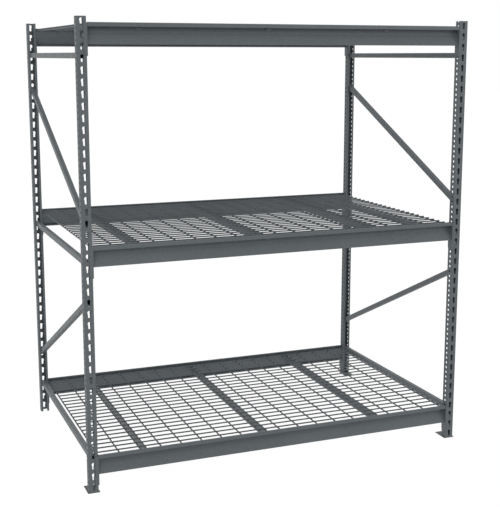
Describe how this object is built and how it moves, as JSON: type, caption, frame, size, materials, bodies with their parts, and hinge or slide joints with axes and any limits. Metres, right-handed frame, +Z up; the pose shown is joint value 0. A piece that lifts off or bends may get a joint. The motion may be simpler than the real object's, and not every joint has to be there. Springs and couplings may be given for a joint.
{
  "type": "boltless steel shelving bay",
  "caption": "Grey boltless bulk storage rack with two braced upright frames, step beams hooked into keyhole slots and wire decks on narrow channel supports.",
  "frame": {"origin": "on the floor at the middle of the bay's bounding box", "axes": "+X to the right along the beams, +Y from front to back, +Z up"},
  "size_m": [1.9444, 1.2258, 2.1336],
  "materials": {
    "frame_paint": "satin grey powder coat",
    "beam_paint": "satin grey powder coat",
    "deck_paint": "satin grey powder coat"
  },
  "bodies": {
    "uprights": {"post_front_left": "frame_paint", "post_front_right": "frame_paint", "post_rear_left": "frame_paint", "post_rear_right": "frame_paint", "foot_front_left": "frame_paint", "foot_front_right": "frame_paint", "foot_rear_right": "frame_paint", "brace_top_left": "frame_paint", "brace_upper_diagonal_left": "frame_paint", "brace_middle_left": "frame_paint", "brace_lower_diagonal_left": "frame_paint", "brace_bottom_left": "frame_paint", "brace_top_right": "frame_paint", "brace_upper_diagonal_right": "frame_paint", "brace_middle_right": "frame_paint", "brace_lower_diagonal_right": "frame_paint", "brace_bottom_right": "frame_paint"},
    "shelf_bottom": {"beam_bottom_front": "beam_paint", "beam_bottom_rear": "beam_paint", "connector_bottom_front_left": "beam_paint", "connector_bottom_front_right": "beam_paint", "connector_bottom_rear_left": "beam_paint", "connector_bottom_rear_right": "beam_paint", "support_bottom_left": "deck_paint", "support_bottom_centre": "deck_paint", "support_bottom_right": "deck_paint"},
    "deck_bottom": {"long_wires_bottom": "deck_paint", "cross_wires_bottom": "deck_paint"},
    "shelf_middle": {"beam_middle_front": "beam_paint", "beam_middle_rear": "beam_paint", "connector_middle_front_left": "beam_paint", "connector_middle_front_right": "beam_paint", "connector_middle_rear_left": "beam_paint", "connector_middle_rear_right": "beam_paint", "support_middle_left": "deck_paint", "support_middle_centre": "deck_paint", "support_middle_right": "deck_paint"},
    "deck_middle": {"long_wires_middle": "deck_paint", "cross_wires_middle": "deck_paint"},
    "shelf_top": {"beam_top_front": "beam_paint", "beam_top_rear": "beam_paint", "connector_top_front_left": "beam_paint", "connector_top_front_right": "beam_paint", "connector_top_rear_left": "beam_paint", "connector_top_rear_right": "beam_paint", "support_top_left": "deck_paint", "support_top_centre": "deck_paint", "support_top_right": "deck_paint"},
    "deck_top": {"long_wires_top": "deck_paint", "cross_wires_top": "deck_paint"}
  },
  "joints": [
    {"name": "unhook_bottom", "type": "slide", "parent": "uprights", "child": "shelf_bottom", "axis": [0, 0, 1], "range_m": [0, 0.014]},
    {"name": "lift_deck_bottom", "type": "slide", "parent": "shelf_bottom", "child": "deck_bottom", "axis": [0, 0, 1], "range_m": [0, 0.25]},
    {"name": "unhook_middle", "type": "slide", "parent": "uprights", "child": "shelf_middle", "axis": [0, 0, 1], "range_m": [0, 0.014]},
    {"name": "lift_deck_middle", "type": "slide", "parent": "shelf_middle", "child": "deck_middle", "axis": [0, 0, 1], "range_m": [0, 0.25]},
    {"name": "unhook_top", "type": "slide", "parent": "uprights", "child": "shelf_top", "axis": [0, 0, 1], "range_m": [0, 0.014]},
    {"name": "lift_deck_top", "type": "slide", "parent": "shelf_top", "child": "deck_top", "axis": [0, 0, 1], "range_m": [0, 0.25]}
  ]
}
